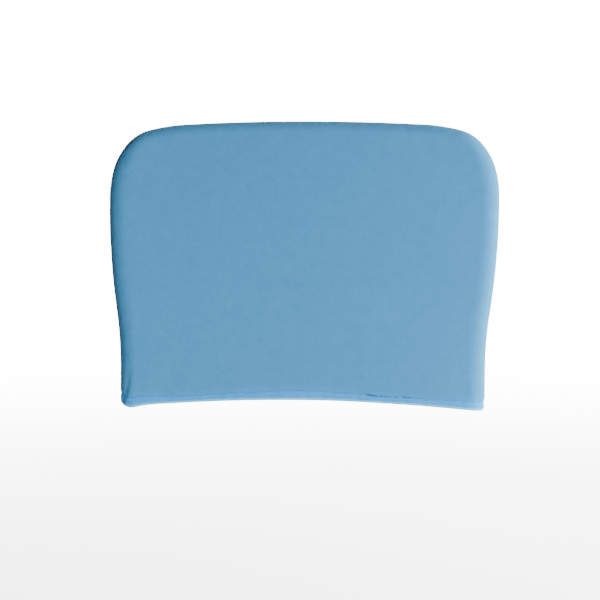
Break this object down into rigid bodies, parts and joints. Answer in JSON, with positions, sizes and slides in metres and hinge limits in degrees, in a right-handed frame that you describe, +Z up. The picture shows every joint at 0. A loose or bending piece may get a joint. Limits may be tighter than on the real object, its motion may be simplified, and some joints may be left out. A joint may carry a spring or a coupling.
{
  "type": "chair headrest stretch cover",
  "caption": "Stretch-knit slip-over cover for the top of an office-chair backrest: front and back panels sewn round the sides and top, elastic in the open bottom hem.",
  "frame": {"origin": "middle of the bottom opening, at the height of the lowest points of the hem", "axes": "+Z up, from the opening towards the closed top; X across the chair; the front of the chair faces -Y, and the top sets back towards +Y"},
  "size_m": [0.4888, 0.0742, 0.3626],
  "materials": {
    "knit_fabric": "fine polyester and elastane jersey knit, light blue, matt with a slight sheen",
    "elastic": "white woven flat elastic, ribbed",
    "seam_thread": "light blue textured polyester overlock thread",
    "hem_thread": "light blue polyester sewing thread",
    "closure_thread": "darker blue polyester sewing thread",
    "elastic_join_thread": "white polyester sewing thread"
  },
  "bodies": {
    "root": {"front_panel": "knit_fabric", "back_panel": "knit_fabric", "hem_elastic": "elastic", "seam_needle_thread": "seam_thread", "seam_upper_looper_thread": "seam_thread", "seam_lower_looper_thread": "seam_thread", "hem_needle_thread": "hem_thread", "hem_bobbin_thread": "hem_thread", "casing_closure_thread": "closure_thread", "elastic_join_thread": "elastic_join_thread"}
  },
  "joints": []
}
